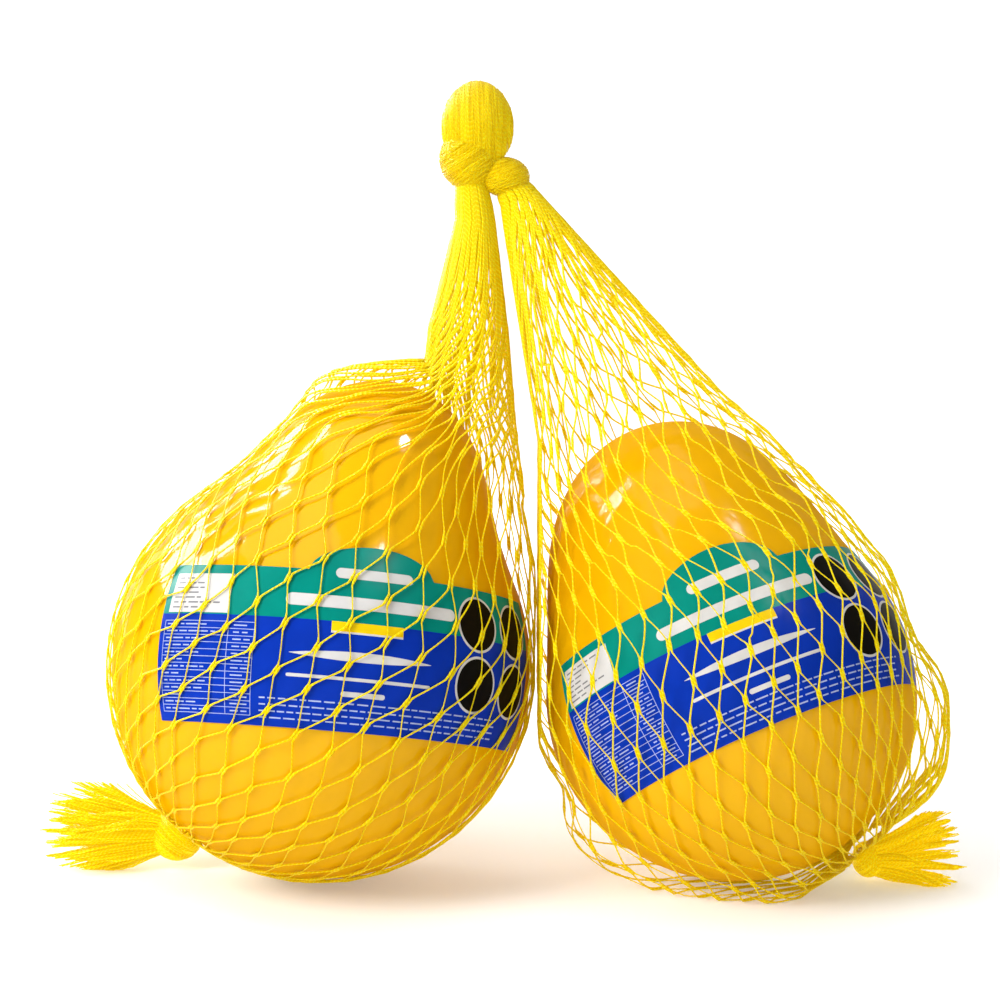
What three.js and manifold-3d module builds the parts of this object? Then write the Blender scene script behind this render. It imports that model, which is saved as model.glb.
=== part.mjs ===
// A tied pair of caciocavallo cheeses: two pear-shaped cheeses with printed film labels,
// held in one knitted tube net that is knotted above them and ends in a tassel at each side.
// Millimetres, X to the right, Y to the back, Z up. The front with the labels faces -Y.
import * as THREE from 'three';
import { mergeVertices } from 'three/addons/utils/BufferGeometryUtils.js';
import Module from 'manifold-3d';

// Cheeses: a large body ball and a small head ball, blended into a pear.
// Lean is to the right and tip to the back, in degrees.
const FLOOR_GAP = 2.2;
const PAIR_GAP = 4.4;
const LEFT_CHEESE = { bodyRadius: 61.5, headRadius: 30, neckLength: 57, lean: 17, tip: 0, x: -53.3, y: 0 };
const RIGHT_CHEESE = { bodyRadius: 54, headRadius: 37, neckLength: 46, lean: -19, tip: 14, y: -4 };
const PEAR_BLEND = 22;
const PEAR_SEGMENTS = 30;
const PEAR_RINGS = 18;

// Labels: a film strip with a half-round hump in the middle of its upper edge.
const LABEL = { width: 124.5, height: 43.3, humpWidth: 37, humpHeight: 8, thickness: 0.4, gap: 0.4 };
const LABEL_COLUMNS = 16;
const LABEL_ROWS = 6;
const LEFT_LABEL = { turn: -8.4, yaw: 17.2, pitch: 12.6 };
const RIGHT_LABEL = { turn: 21.5, yaw: 1.6, pitch: 24.9 };

// Net: diamond meshes of thin bars that stand a little off the skin of the cheese.
const MESHES_ROUND = 20;
const BAR_LENGTH = 18.5;
const BAR_BASE = 2.6;
const BAR_TOP = 3.8;
const KNOT_HALF_LENGTH = 1.4;
const KNOT_HALF_WIDTH = 0.9;
const KNOT_SHARE = 0.2;
const FLOOR_DROP = 3;
const FLOOR_BASE = 1.1;
const TASSEL_END_RADIUS = 5;
const NECK_END_RADIUS = 3;
const NET_BLEND = 12;
const STATIONS = 160;
const SPINE_TENSION = 85;

// The two halves of the net meet on a line that leans left from the touching cheeses to the knot.
const PARTING = { x: 9.9, topX: -1.5, z: 130, topZ: 200, baseGap: 1.4, topGap: 0.35 };

// Left half: a narrow neck that opens to a tube beside the head, then clings to the cheese,
// and a fold that is pulled taut from the top of the head to the neck.
const LEFT_HANG = [
  { x: -7.8, y: 0, z: 200, radius: 1.6 },
  { x: -10.2, y: 0, z: 162, radius: 8.6 },
  { x: -11.2, y: 0, z: 86, radius: 16 },
  { x: -46, y: 0, z: 140, radius: 6 },
  { x: -17, y: 0, z: 146, radius: 5 },
];
const LEFT_TASSEL_AIM = { down: 49.5, back: 9 };

// Right half: a straight tent from the knot to the shoulder, slack meshes at the lower right
// and a loose fold on the floor along the front.
const RIGHT_HANG = [
  { x: 3.4, y: 0, z: 203, radius: 1.6 },
  { x: 58, y: -3, z: 74, radius: 52 },
  { x: 104, y: -3, z: 46.5, radius: 24.5 },
  { x: 77, y: -17, z: 12, radius: 12 },
  { x: 60, y: -12, z: 13, radius: 11 },
  { x: 38, y: -8, z: 21.5, radius: 14 },
];
const RIGHT_TASSEL_AIM = { down: 50, back: 2 };

// Top knot: a folded bight of gathered net, a collar wound round it, a hitch and two gathered stubs.
const BIGHT = { x: -7.5, y: 0, z: 220.6, radii: [10.4, 8.6, 13.4] };
const COLLAR = { x: -9.9, y: -0.5, z: 211.8, radii: [8.5, 8.2, 8.8] };
const HITCH = { x: 0.5, y: -1, z: 206.6, radii: [7, 6.4, 5.6] };
const STUB_RADIUS = 4.4;
const STUB_GAP = 1.6;

// Tassels: a hard knot and a stiff brush of cut net ends.
const TASSEL_GAP = 5.2;
const LEFT_KNOT = [8, 8, 8.2];
const LEFT_BRUSH = { length: 41, root: 5, tip: 15.5, depth: 0.7, rise: 1.2, back: -2, seed: 11 };
const RIGHT_KNOT = [4.8, 5.4, 5.4];
const RIGHT_BRUSH = { length: 28.5, root: 4.8, tip: 13.6, depth: 0.7, rise: 2.5, back: -3, seed: 29 };
const BRUSH_SIDES = 22;
const BRUSH_STEPS = 4;
const BRUSH_RAGGED = 0.3;
const BRUSH_FLARE = 1.3;
const FLOOR_CLEAR = 0.3;

// Fineness of the round pieces and of the measuring.
const LUMP_SEGMENTS = 16;
const LUMP_RINGS = 10;
const STUB_SIDES = 14;
const RING_SAMPLES = 24;
const REACH_LIMIT = 140;
const REACH_HALVINGS = 36;
const NUDGE = 1e-3;
const WELD = 1e-4;
const DRAW_FACTOR = 16807;
const DRAW_RANGE = 2147483647;

// Paints.
const CHEESE_PAINT = { color: 0xf5b400, roughness: 0.3, metalness: 0 };
const LABEL_PAINT = { color: 0x0a3fc4, roughness: 0.35, metalness: 0 };
const NET_PAINT = { color: 0xffdf10, roughness: 0.55, metalness: 0 };

const wasm = await Module();
wasm.setup();

const radians = THREE.MathUtils.degToRad;
const vector = (x, y, z) => new THREE.Vector3(x, y, z);
const spot = (place) => vector(place.x, place.y ?? 0, place.z);

// Distance to two blended shapes, rounded where they meet.
function smoothMin(a, b, blend) {
  const overlap = Math.max(blend - Math.abs(a - b), 0) / blend;
  return Math.min(a, b) - (overlap * overlap * blend) / 4;
}

// Distance to a round cone that runs from one ball to another.
function coneDistance(point, from, to) {
  const axis = to.centre.clone().sub(from.centre);
  const along = point.clone().sub(from.centre).dot(axis) / axis.lengthSq();
  const share = THREE.MathUtils.clamp(along, 0, 1);
  const nearest = from.centre.clone().addScaledVector(axis, share);
  return point.distanceTo(nearest) - THREE.MathUtils.lerp(from.radius, to.radius, share);
}

const ball = (place) => ({ centre: spot(place), radius: place.radius });

// Distance at which a field turns from negative to positive along a ray.
function reach(field, start, direction) {
  let inside = 0;
  let outside = REACH_LIMIT;
  for (let step = 0; step < REACH_HALVINGS; step += 1) {
    const middle = (inside + outside) / 2;
    const point = start.clone().addScaledVector(direction, middle);
    if (field(point) < 0) inside = middle;
    else outside = middle;
  }
  return inside;
}

// A cheese's place: body on the floor gap, head up the leaning axis.
function placeCheese(size, x) {
  const body = vector(x, size.y, FLOOR_GAP + size.bodyRadius);
  const axis = vector(0, 0, 1);
  axis.applyAxisAngle(vector(1, 0, 0), -radians(size.tip));
  axis.applyAxisAngle(vector(0, 1, 0), radians(size.lean));
  const head = body.clone().addScaledVector(axis, size.neckLength);
  const field = (point) => smoothMin(
    point.distanceTo(body) - size.bodyRadius,
    point.distanceTo(head) - size.headRadius,
    PEAR_BLEND,
  );
  return { ...size, body, axis, head, field };
}

// The right cheese stands where the gap between the two bodies is the pair gap.
function rightCheeseX() {
  const apart = LEFT_CHEESE.bodyRadius + RIGHT_CHEESE.bodyRadius + PAIR_GAP;
  const rise = LEFT_CHEESE.bodyRadius - RIGHT_CHEESE.bodyRadius;
  const shift = LEFT_CHEESE.y - RIGHT_CHEESE.y;
  return LEFT_CHEESE.x + Math.sqrt(apart * apart - rise * rise - shift * shift);
}

// Pear solid: the outline of the blended balls turned round the leaning axis.
function pearGeometry(cheese) {
  const profile = [];
  const side = vector(cheese.axis.z, 0, -cheese.axis.x).normalize();
  for (let ring = 0; ring <= PEAR_RINGS; ring += 1) {
    const polar = (Math.PI * ring) / PEAR_RINGS;
    const height = -Math.cos(polar);
    const width = ring === 0 || ring === PEAR_RINGS ? 0 : Math.sin(polar);
    const aim = cheese.axis.clone().multiplyScalar(height).addScaledVector(side, width);
    const radius = reach(cheese.field, cheese.body, aim);
    profile.push(new THREE.Vector2(radius * width, radius * height));
  }
  const geometry = new THREE.LatheGeometry(profile, PEAR_SEGMENTS);
  const upright = new THREE.Quaternion().setFromUnitVectors(vector(0, 1, 0), cheese.axis);
  geometry.applyQuaternion(upright);
  geometry.translate(cheese.body.x, cheese.body.y, cheese.body.z);
  return closed(geometry);
}

// Keep positions only and share the vertices, so that the surface is one closed skin.
function closed(geometry) {
  geometry.deleteAttribute('normal');
  geometry.deleteAttribute('uv');
  return mergeVertices(geometry, WELD);
}

// Height of the hump on the label's upper edge, as half an ellipse.
function humpAt(across) {
  const share = (2 * across) / LABEL.humpWidth;
  return Math.abs(share) < 1 ? LABEL.humpHeight * Math.sqrt(1 - share * share) : 0;
}

// Label solid: a thin box bent round the body of its cheese.
function labelGeometry(cheese, place) {
  const front = vector(0, -1, 0);
  const turned = new THREE.Euler(-radians(place.pitch), 0, radians(place.yaw), 'ZXY');
  front.applyEuler(turned);
  const across = vector(1, 0, 0).applyEuler(turned).applyAxisAngle(front, radians(place.turn));
  const up = across.clone().cross(front).negate();
  const geometry = new THREE.BoxGeometry(
    LABEL.width, LABEL.thickness, LABEL.height, LABEL_COLUMNS, 1, LABEL_ROWS,
  );
  const corners = geometry.attributes.position;
  for (let index = 0; index < corners.count; index += 1) {
    const along = corners.getX(index);
    const height = corners.getZ(index) + humpAt(along) * (corners.getZ(index) / LABEL.height + 0.5);
    const turn = along / cheese.bodyRadius;
    const rise = height / cheese.bodyRadius;
    const level = front.clone().multiplyScalar(Math.cos(turn)).addScaledVector(across, Math.sin(turn));
    const aim = level.multiplyScalar(Math.cos(rise)).addScaledVector(up, Math.sin(rise));
    const lift = LABEL.gap + LABEL.thickness / 2 - corners.getY(index);
    const distance = reach(cheese.field, cheese.body, aim) + lift;
    const point = cheese.body.clone().addScaledVector(aim, distance);
    corners.setXYZ(index, point.x, point.y, point.z);
  }
  return closed(geometry);
}

// Direction in which a tassel leaves its cheese.
function tasselAim(place, side) {
  const level = Math.cos(radians(place.back));
  return vector(
    side * Math.cos(radians(place.down)) * level,
    Math.sin(radians(place.back)),
    -Math.sin(radians(place.down)) * level,
  );
}

// Spine of one half of the net: one sweep from the tassel through the cheese and up to the knot.
function spineBetween(tail, aim, top, rise) {
  const leaving = tail.clone().addScaledVector(aim, -SPINE_TENSION);
  const arriving = top.clone().addScaledVector(rise, -SPINE_TENSION);
  return new THREE.CubicBezierCurve3(tail, leaving, arriving, top);
}

// One half of the net: the cheese's skin joined with a tube that hangs through a row of balls.
function hangNet(cheese, places, tasselPlace, side) {
  const balls = places.map(ball);
  const field = (point) => {
    const cones = balls.slice(1).map((low, place) => coneDistance(point, balls[place], low));
    return smoothMin(cheese.field(point), Math.min(...cones), NET_BLEND);
  };
  const aim = tasselAim(tasselPlace, side);
  const tail = cheese.body.clone().addScaledVector(aim, reach(field, cheese.body, aim));
  const [top, shoulder] = balls;
  const rise = top.centre.clone().sub(shoulder.centre).normalize();
  return { field, spine: spineBetween(tail, aim, top.centre, rise), aim, tail, side };
}

// Point of the net's form at an angle round the spine and a share of its length.
function netPoint(net, angle, share) {
  const centre = net.spine.getPoint(share);
  const axis = net.spine.getTangent(share);
  const level = vector(0, 1, 0).cross(axis).normalize();
  const out = axis.clone().cross(level);
  const aim = level.multiplyScalar(Math.cos(angle)).addScaledVector(out, Math.sin(angle));
  return centre.clone().addScaledVector(aim, reach(net.field, centre, aim));
}

// Rings along the spine: how far the meshes have run and how wide the ring is there.
function measureRings(net) {
  const rings = [];
  const turn = (2 * Math.PI) / RING_SAMPLES;
  let before = null;
  let run = 0;
  for (let station = 1; station < STATIONS; station += 1) {
    const share = station / STATIONS;
    const points = Array.from({ length: RING_SAMPLES }, (_, k) => netPoint(net, k * turn, share));
    const round = points.reduce((sum, p, k) => sum + p.distanceTo(points[(k + 1) % RING_SAMPLES]), 0);
    if (before) run += points.reduce((sum, p, k) => sum + p.distanceTo(before[k]), 0) / RING_SAMPLES;
    before = points;
    rings.push({ share, run, round, radius: round / (2 * Math.PI) });
  }
  return rings;
}

// Shares of the spine at which the rows of net knots lie, from the tassel to the neck.
// A ring's phase counts the rows up to it, so rows end exactly at both ends of the net.
function rowShares(net) {
  const rings = measureRings(net);
  const start = rings.findIndex((ring) => ring.radius > TASSEL_END_RADIUS);
  const end = rings.findLastIndex((ring) => ring.radius > NECK_END_RADIUS);
  const used = rings.slice(start, end + 1);
  let phase = 0;
  used.forEach((ring, place) => {
    const half = ring.round / MESHES_ROUND / 2;
    const step = Math.sqrt(Math.max(BAR_LENGTH * BAR_LENGTH - half * half, BAR_LENGTH));
    if (place > 0) phase += (ring.run - used[place - 1].run) / step;
    ring.phase = phase;
  });
  const rows = Math.round(phase);
  return Array.from({ length: rows + 1 }, (_, row) => {
    const wanted = (phase * row) / rows;
    return used.find((ring) => ring.phase >= wanted - 1e-9).share;
  });
}

// Keep a point of the net above the floor and on its own side of the parting line.
function kept(point, net, isTop, dropped) {
  const lowest = isTop ? 0 : FLOOR_BASE;
  point.z = dropped ? lowest : Math.max(point.z, lowest);
  const climb = THREE.MathUtils.clamp((point.z - PARTING.z) / (PARTING.topZ - PARTING.z), 0, 1);
  const line = THREE.MathUtils.lerp(PARTING.x, PARTING.topX, climb);
  const limit = line + net.side * (isTop ? PARTING.topGap : PARTING.baseGap);
  point.x = net.side < 0 ? Math.min(point.x, limit) : Math.max(point.x, limit);
  return point;
}

// One knot of the net: four corners on the inside and one point on the outside.
function netKnot(net, angle, share) {
  const middle = netPoint(net, angle, share);
  const right = netPoint(net, angle + NUDGE, share).sub(netPoint(net, angle - NUDGE, share)).normalize();
  const up = netPoint(net, angle, share + NUDGE).sub(netPoint(net, angle, share - NUDGE)).normalize();
  const out = right.clone().cross(up).normalize();
  const centre = net.spine.getPoint(share);
  const spacing = (2 * Math.PI * (middle.distanceTo(centre) + BAR_BASE)) / MESHES_ROUND;
  const halfWidth = Math.min(KNOT_HALF_WIDTH, KNOT_SHARE * spacing);
  const top = middle.clone().addScaledVector(out, BAR_TOP);
  const dropped = top.z < FLOOR_DROP;
  const corner = (direction, size) => kept(
    middle.clone().addScaledVector(out, BAR_BASE).addScaledVector(direction, size), net, false, dropped,
  );
  return {
    top: corner(up, KNOT_HALF_LENGTH),
    bottom: corner(up, -KNOT_HALF_LENGTH),
    right: corner(right, halfWidth),
    left: corner(right, -halfWidth),
    peak: kept(top, net, true, dropped),
  };
}

// Lattice solid: knots in staggered rows, each joined by two bars to the row above.
function netGeometry(net) {
  const shares = rowShares(net);
  const turn = (2 * Math.PI) / MESHES_ROUND;
  const rows = shares.map((share, row) => Array.from(
    { length: MESHES_ROUND },
    (_, place) => netKnot(net, (place + (row % 2) / 2) * turn, share),
  ));
  const positions = [];
  const triangle = (a, b, c) => [a, b, c].forEach((p) => positions.push(p.x, p.y, p.z));
  const quad = (a, b, c, d) => {
    triangle(a, b, c);
    triangle(a, c, d);
  };
  rows.forEach((knots, row) => knots.forEach((knot, place) => {
    quad(knot.top, knot.right, knot.bottom, knot.left);
    if (row === 0) {
      triangle(knot.bottom, knot.right, knot.peak);
      triangle(knot.left, knot.bottom, knot.peak);
    }
    if (row === rows.length - 1) {
      triangle(knot.right, knot.top, knot.peak);
      triangle(knot.top, knot.left, knot.peak);
      return;
    }
    const shift = row % 2;
    const upRight = rows[row + 1][(place + shift) % MESHES_ROUND];
    const upLeft = rows[row + 1][(place + shift - 1 + MESHES_ROUND) % MESHES_ROUND];
    quad(knot.right, knot.top, upRight.left, upRight.bottom);
    quad(upRight.left, knot.top, knot.peak, upRight.peak);
    quad(knot.right, upRight.bottom, upRight.peak, knot.peak);
    quad(knot.left, upLeft.bottom, upLeft.right, knot.top);
    quad(upLeft.bottom, knot.left, knot.peak, upLeft.peak);
    quad(knot.top, upLeft.right, upLeft.peak, knot.peak);
  }));
  const geometry = new THREE.BufferGeometry();
  geometry.setAttribute('position', new THREE.Float32BufferAttribute(positions, 3));
  net.neckShare = shares[shares.length - 1];
  return mergeVertices(geometry, WELD);
}

// Solid body of a closed geometry, for joining.
function solid(geometry) {
  const skin = closed(geometry);
  return new wasm.Manifold(new wasm.Mesh({
    numProp: 3,
    vertProperties: new Float32Array(skin.attributes.position.array),
    triVerts: new Uint32Array(skin.index.array),
  }));
}

// Geometry of several solids joined into one. Its outer shell is kept, which fills sealed hollows.
function joined(solids) {
  const shells = solids.reduce((whole, piece) => whole.add(piece)).decompose();
  const mesh = shells.reduce((best, shell) => (shell.volume() > best.volume() ? shell : best)).getMesh();
  const geometry = new THREE.BufferGeometry();
  geometry.setAttribute('position', new THREE.Float32BufferAttribute(mesh.vertProperties, 3));
  geometry.setIndex(Array.from(mesh.triVerts));
  return geometry;
}

// Oval lump at a place.
function lump(place, radii) {
  const geometry = new THREE.SphereGeometry(1, LUMP_SEGMENTS, LUMP_RINGS);
  geometry.scale(...radii);
  geometry.translate(place.x, place.y, place.z);
  return solid(geometry);
}

// Gathered stub from the knot down to the first meshes of one half of the net.
function stub(net, from) {
  const start = net.spine.getPoint(net.neckShare);
  const down = net.spine.getTangent(net.neckShare);
  start.addScaledVector(down, KNOT_HALF_LENGTH + STUB_GAP);
  const length = start.distanceTo(from);
  const geometry = new THREE.CylinderGeometry(STUB_RADIUS, STUB_RADIUS, length, STUB_SIDES);
  const aim = from.clone().sub(start).normalize();
  geometry.applyQuaternion(new THREE.Quaternion().setFromUnitVectors(vector(0, 1, 0), aim));
  const middle = start.lerp(from, 0.5);
  geometry.translate(middle.x, middle.y, middle.z);
  return solid(geometry);
}

// Top knot solid.
function topKnotGeometry(left, right) {
  const lumps = [BIGHT, COLLAR, HITCH].map((place) => lump(spot(place), place.radii));
  return joined([...lumps, stub(left, spot(COLLAR)), stub(right, spot(HITCH))]);
}

// Seeded draws between 0 and 1.
function drawFrom(seed) {
  let state = seed;
  return () => {
    state = (state * DRAW_FACTOR) % DRAW_RANGE;
    return state / DRAW_RANGE;
  };
}

// Brush of cut ends: a flared bundle, flattened front to back, with a ragged tip.
function brushGeometry(start, size, side) {
  const draw = drawFrom(size.seed);
  const geometry = closed(new THREE.CylinderGeometry(1, 1, 1, BRUSH_SIDES, BRUSH_STEPS));
  const points = geometry.attributes.position;
  const tipCuts = Array.from({ length: BRUSH_SIDES }, () => 1 - BRUSH_RAGGED * draw());
  for (let index = 0; index < points.count; index += 1) {
    const share = points.getY(index) + 0.5;
    const angle = Math.atan2(points.getZ(index), points.getX(index));
    const spread = Math.hypot(points.getX(index), points.getZ(index));
    const column = (Math.round((angle / (2 * Math.PI)) * BRUSH_SIDES) + BRUSH_SIDES) % BRUSH_SIDES;
    const cut = spread > 0.5 ? 1 - (1 - tipCuts[column]) * share : 1;
    const radius = spread * THREE.MathUtils.lerp(size.root, size.tip, share ** BRUSH_FLARE);
    points.setXYZ(
      index,
      start.x + side * size.length * share * cut,
      start.y + size.back * share + radius * size.depth * Math.sin(angle),
      Math.max(start.z + size.rise * share + side * radius * Math.cos(angle), FLOOR_CLEAR),
    );
  }
  return geometry;
}

// Tassel solid: knot lump and brush.
function tasselGeometry(net, knot, brush) {
  const centre = net.tail.clone().addScaledVector(net.aim, BAR_TOP + TASSEL_GAP);
  centre.z = Math.max(centre.z, knot[2] + FLOOR_CLEAR);
  return joined([lump(centre, knot), solid(brushGeometry(centre, brush, net.side))]);
}

const cheeseLeft = placeCheese(LEFT_CHEESE, LEFT_CHEESE.x);
const cheeseRight = placeCheese(RIGHT_CHEESE, rightCheeseX());
const netLeft = hangNet(cheeseLeft, LEFT_HANG, LEFT_TASSEL_AIM, -1);
const netRight = hangNet(cheeseRight, RIGHT_HANG, RIGHT_TASSEL_AIM, 1);

const object = new THREE.Group();
function addPiece(name, geometry, paint) {
  const mesh = new THREE.Mesh(geometry, new THREE.MeshStandardMaterial(paint));
  mesh.name = name;
  object.add(mesh);
}

addPiece('cheese_left', pearGeometry(cheeseLeft), CHEESE_PAINT);
addPiece('cheese_right', pearGeometry(cheeseRight), CHEESE_PAINT);
addPiece('label_left', labelGeometry(cheeseLeft, LEFT_LABEL), LABEL_PAINT);
addPiece('label_right', labelGeometry(cheeseRight, RIGHT_LABEL), LABEL_PAINT);
addPiece('net_left', netGeometry(netLeft), NET_PAINT);
addPiece('net_right', netGeometry(netRight), NET_PAINT);
addPiece('top_knot', topKnotGeometry(netLeft, netRight), NET_PAINT);
addPiece('tassel_left', tasselGeometry(netLeft, LEFT_KNOT, LEFT_BRUSH), NET_PAINT);
addPiece('tassel_right', tasselGeometry(netRight, RIGHT_KNOT, RIGHT_BRUSH), NET_PAINT);

// The origin is at the middle of the bottom of the whole object's box.
const box = new THREE.Box3().setFromObject(object);
const middle = box.getCenter(vector(0, 0, 0));
object.position.set(-middle.x, -middle.y, -box.min.z);

export default object;
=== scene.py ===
import math

import bpy
import numpy as np
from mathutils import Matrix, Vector


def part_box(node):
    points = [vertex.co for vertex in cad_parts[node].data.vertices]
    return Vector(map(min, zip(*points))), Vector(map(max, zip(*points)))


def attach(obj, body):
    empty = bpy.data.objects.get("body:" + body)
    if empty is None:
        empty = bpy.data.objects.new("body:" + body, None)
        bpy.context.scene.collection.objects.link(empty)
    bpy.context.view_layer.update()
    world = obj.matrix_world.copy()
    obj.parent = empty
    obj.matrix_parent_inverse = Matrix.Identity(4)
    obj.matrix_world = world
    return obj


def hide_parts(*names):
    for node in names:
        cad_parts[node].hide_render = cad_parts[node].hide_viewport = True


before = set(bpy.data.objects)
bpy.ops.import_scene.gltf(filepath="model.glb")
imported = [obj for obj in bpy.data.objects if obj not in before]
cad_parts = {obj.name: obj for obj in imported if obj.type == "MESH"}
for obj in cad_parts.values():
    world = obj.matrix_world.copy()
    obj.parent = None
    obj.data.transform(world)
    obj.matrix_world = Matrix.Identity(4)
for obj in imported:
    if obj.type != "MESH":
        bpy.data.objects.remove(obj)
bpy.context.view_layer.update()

# Looks of a tied pair of caciocavallo cheeses in one knitted net.
# Sizes are in millimetres, in the frame of the solids: X right, Y back, Z up.
MM = 0.001


# Helpers for points, distances and directions.
def unit(rows):
    """Rows scaled to length one."""
    return rows / np.linalg.norm(rows, axis=-1, keepdims=True)


def vec(*values):
    """A point or direction as an array."""
    return np.array(values, float)


def smooth_step(share):
    """Eases from 0 to 1."""
    share = np.clip(share, 0, 1)
    return share * share * (3 - 2 * share)


def smooth_min(a, b, blend):
    """Distance to two shapes that are rounded where they meet."""
    overlap = np.maximum(blend - np.abs(a - b), 0) / blend
    return np.minimum(a, b) - overlap * overlap * blend / 4


def cone_distance(points, first, last):
    """Distance to a round cone from one ball to another, each given as x, y, z, radius."""
    start, end = vec(*first[:3]), vec(*last[:3])
    axis = end - start
    share = np.clip((points - start) @ axis / (axis @ axis), 0, 1)
    nearest = start + share[:, None] * axis
    radius = first[3] + share * (last[3] - first[3])
    return np.linalg.norm(points - nearest, axis=1) - radius


def reach(field, start, aim, limit=140.0, halvings=30):
    """Distance along each ray at which a field turns positive."""
    inside = np.zeros(len(aim))
    outside = np.full(len(aim), limit)
    for _ in range(halvings):
        middle = (inside + outside) / 2
        is_in = field(start + middle[:, None] * aim) < 0
        inside = np.where(is_in, middle, inside)
        outside = np.where(is_in, outside, middle)
    return inside


def gradient(field, points, nudge=0.05):
    """Outward direction of a field."""
    steps = np.eye(3) * nudge
    return unit(np.stack([field(points + s) - field(points - s) for s in steps], axis=1))


# Cheeses: a body ball and a head ball blended into a pear; angles are in degrees.
FLOOR_GAP = 2.2
PAIR_GAP = 4.4
PEAR_BLEND = 22
LEFT_PEAR = {"body": 61.5, "head": 30, "neck": 57, "lean": 17, "tip": 0, "x": -53.3, "y": 0}
RIGHT_PEAR = {"body": 54, "head": 37, "neck": 46, "lean": -19, "tip": 14, "y": -4}


def place_pear(size, x):
    """Body, axis and distance field of one cheese."""
    body = vec(x, size["y"], FLOOR_GAP + size["body"])
    lean, tip = math.radians(size["lean"]), math.radians(size["tip"])
    axis = vec(math.sin(lean) * math.cos(tip), math.sin(tip), math.cos(lean) * math.cos(tip))
    head = body + axis * size["neck"]

    def field(points):
        to_body = np.linalg.norm(points - body, axis=1) - size["body"]
        to_head = np.linalg.norm(points - head, axis=1) - size["head"]
        return smooth_min(to_body, to_head, PEAR_BLEND)

    return {"radius": size["body"], "body": body, "axis": axis, "field": field}


def right_pear_x():
    """Place of the right cheese, a pair gap away from the left one."""
    apart = LEFT_PEAR["body"] + RIGHT_PEAR["body"] + PAIR_GAP
    rise = LEFT_PEAR["body"] - RIGHT_PEAR["body"]
    shift = LEFT_PEAR["y"] - RIGHT_PEAR["y"]
    return LEFT_PEAR["x"] + math.sqrt(apart**2 - rise**2 - shift**2)


LEFT = place_pear(LEFT_PEAR, LEFT_PEAR["x"])
RIGHT = place_pear(RIGHT_PEAR, right_pear_x())

# The solids were shifted so that the origin is under the middle of their box.
low, high = (vec(*corner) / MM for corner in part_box("cheese_left"))
SHIFT = ((low + high) / 2 - LEFT["body"]) * vec(1, 1, 0)


# Making of pieces.
def joined(meshes):
    """Points and faces of several meshes as one mesh."""
    starts = np.cumsum([0] + [len(points) for points, faces in meshes[:-1]])
    points = np.vstack([points for points, faces in meshes])
    faces = np.vstack([faces + start for (_, faces), start in zip(meshes, starts)])
    return points, faces.tolist()


def piece_from(name, points, faces, replaced, materials):
    """A smooth mesh piece from points in millimetres, riding on the one body in place of a solid."""
    mesh = bpy.data.meshes.new(name)
    mesh.from_pydata(((points + SHIFT) * MM).tolist(), [], faces)
    mesh.update()
    mesh.polygons.foreach_set("use_smooth", np.full(len(mesh.polygons), True))
    piece = bpy.data.objects.new(name, mesh)
    bpy.context.scene.collection.objects.link(piece)
    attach(piece, "root")
    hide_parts(replaced)
    for material in materials:
        mesh.materials.append(material)
    return piece


# Cheese meshes: a hand-shaped pear with low lumps, and folds where the tight skin turns away at the edges.
PEAR_RINGS, PEAR_SEGMENTS = 190, 240
LUMP_HEIGHT, LUMP_LENGTH = 0.35, 21
LUMP_RUNS = [(1, 0, 1.3), (0, 1.1, 0.7)]
FOLD_HEIGHT, FOLD_WAVE = 0.22, 5.2
FOLD_SWAYS = [(1.6, 6.5), (0.9, 2.7)]
LEFT_FOLDS = [((-36, -12, 145), 20), ((-76, -25, 112), 20)]
RIGHT_FOLDS = [((19, -14, 98), 26), ((95, -14, 104), 26)]


def lump_height(points):
    """Low lumps all over, from two slow waves that cross."""
    first, second = (np.sin(points @ vec(*run) / LUMP_LENGTH) for run in LUMP_RUNS)
    return LUMP_HEIGHT * first * second


def fold_height(points, pear, folds):
    """Folds near given places, each running along the edge that turns away from the front."""
    height = np.zeros(len(points))
    for place, spread in folds:
        out = unit(vec(*place) - pear["body"])
        across = unit(vec(0, 1, 0) - out * out[1])
        along = np.cross(out, across)
        run = points - vec(*place)
        fade = np.exp(-2 * (run * run).sum(1) / spread**2)
        sway = sum(width * np.sin(run @ along / length) for width, length in FOLD_SWAYS)
        height += FOLD_HEIGHT * fade * np.sin(2 * np.pi * (run @ across + sway) / FOLD_WAVE)
    return height


def pear_points(pear):
    """Rings of points on the pear from its bottom to its top, and their directions from the body."""
    side = unit(vec(pear["axis"][2], 0, -pear["axis"][0]))
    back = np.cross(pear["axis"], side)
    polar = np.pi * np.arange(1, PEAR_RINGS) / PEAR_RINGS
    turn = 2 * np.pi * np.arange(PEAR_SEGMENTS) / PEAR_SEGMENTS
    polar, turn = (grid.ravel() for grid in np.meshgrid(polar, turn, indexing="ij"))
    level = np.outer(np.cos(turn), side) + np.outer(np.sin(turn), back)
    aim = np.sin(polar)[:, None] * level - np.outer(np.cos(polar), pear["axis"])
    aim = np.vstack([-pear["axis"], aim, pear["axis"]])
    return pear["body"] + reach(pear["field"], pear["body"], aim)[:, None] * aim, aim


def pear_faces():
    """Triangles at both ends of the pear and quads between its rings."""
    place = np.arange(PEAR_SEGMENTS)
    beside = (place + 1) % PEAR_SEGMENTS
    last = 1 + (PEAR_RINGS - 1) * PEAR_SEGMENTS
    last_ring = last - PEAR_SEGMENTS
    bottom = np.stack([0 * place, 1 + beside, 1 + place], axis=1)
    top = np.stack([0 * place + last, last_ring + place, last_ring + beside], axis=1)
    ring = 1 + PEAR_SEGMENTS * np.arange(PEAR_RINGS - 2)[:, None]
    corners = [ring + place, ring + beside, ring + PEAR_SEGMENTS + beside, ring + PEAR_SEGMENTS + place]
    quads = np.stack(corners, axis=-1).reshape(-1, 4)
    return bottom.tolist() + quads.tolist() + top.tolist()


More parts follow.
